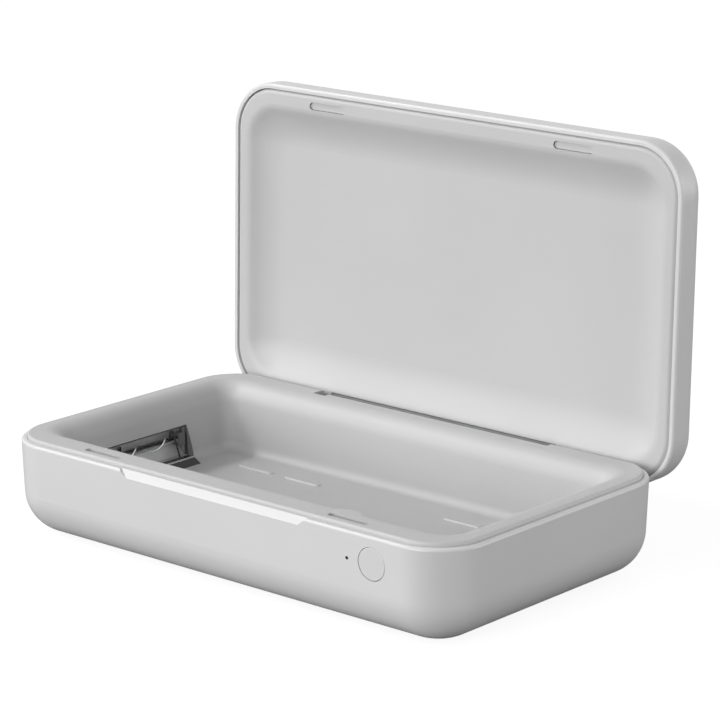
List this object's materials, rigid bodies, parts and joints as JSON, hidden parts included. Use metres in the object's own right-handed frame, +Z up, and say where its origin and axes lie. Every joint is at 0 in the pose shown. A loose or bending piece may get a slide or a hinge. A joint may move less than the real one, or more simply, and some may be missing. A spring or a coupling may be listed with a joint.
{
  "type": "uv sanitizer box for phones",
  "caption": "Low rounded white box with a dished hinged lid, an ultraviolet lamp unit in each end wall of its chamber, a push button and a magnetic catch.",
  "frame": {"origin": "the middle of the base in plan, at the plane that its feet stand on", "axes": "+X along the box to the right, +Y to the back where the hinge is, +Z up; the front with the button faces -Y"},
  "size_m": [0.23, 0.1533, 0.1657],
  "materials": {
    "case_white": "fine satin moulded ABS",
    "chamber_white": "fine satin moulded ABS",
    "button_white": "satin moulded ABS",
    "magnet_cap_grey": "satin",
    "magnet_nickel": "nickel plated",
    "hinge_plastic": "moulded acetal",
    "steel": "zinc plated",
    "foot_rubber": "matt",
    "lamp_window": "clear",
    "lamp_reflector": "polished",
    "quartz": "clear",
    "lamp_wire": "drawn wire",
    "lamp_holder": "moulded",
    "lamp_sill": "polished",
    "circuit_board": "solder mask",
    "component_black": "moulded epoxy",
    "connector_white": "nylon",
    "lead_insulation": "PVC",
    "clear_plastic": "moulded acrylic"
  },
  "bodies": {
    "base": {"base_magnet_caps": "magnet_cap_grey", "base_magnets": "magnet_nickel", "base_shell": "case_white", "base_tray": "chamber_white", "board_connectors": "connector_white", "board_screws": "steel", "button_board": "circuit_board", "button_board_screws": "steel", "button_cable": "lead_insulation", "case_screws": "steel", "control_chips": "component_black", "hinge_bracket": "hinge_plastic", "hinge_pin": "steel", "hinge_screws": "steel", "inlet_board": "circuit_board", "inlet_cable": "lead_insulation", "inlet_screws": "steel", "inlet_socket": "steel", "lamp_coil_left": "lamp_wire", "lamp_coil_right": "lamp_wire", "lamp_cover_left": "lamp_window", "lamp_cover_right": "lamp_window", "lamp_holders_left": "lamp_holder", "lamp_holders_right": "lamp_holder", "lamp_leads_left": "lead_insulation", "lamp_leads_right": "lead_insulation", "lamp_reflector_left": "lamp_reflector", "lamp_reflector_right": "lamp_reflector", "lamp_sill_left": "lamp_sill", "lamp_sill_right": "lamp_sill", "lamp_terminals_left": "lamp_wire", "lamp_terminals_right": "lamp_wire", "lamp_transformers": "component_black", "lamp_tube_left": "quartz", "lamp_tube_right": "quartz", "led_light_pipe": "clear_plastic", "lid_sensor": "component_black", "main_board": "circuit_board", "rubber_feet": "foot_rubber", "status_led": "clear_plastic", "switch_body": "component_black"},
    "lid": {"lid_shell": "case_white", "lid_liner": "chamber_white", "lid_magnets": "magnet_nickel", "lid_magnet_caps": "magnet_cap_grey", "hinge_leaf": "hinge_plastic", "leaf_screws": "steel", "sensor_magnet": "magnet_nickel"},
    "button": {"power_button": "button_white", "switch_plunger": "component_black"}
  },
  "joints": [
    {"name": "lid_hinge", "type": "hinge", "parent": "base", "child": "lid", "pos_m": [0, 0.06246, 0.0358], "axis": [1, 0, 0], "range_deg": [0, 91.2]},
    {"name": "button_press", "type": "slide", "parent": "base", "child": "button", "axis": [0, 0.9993, 0.0366], "range_m": [0, 0.0006], "stiffness_N_per_m": 2500}
  ]
}
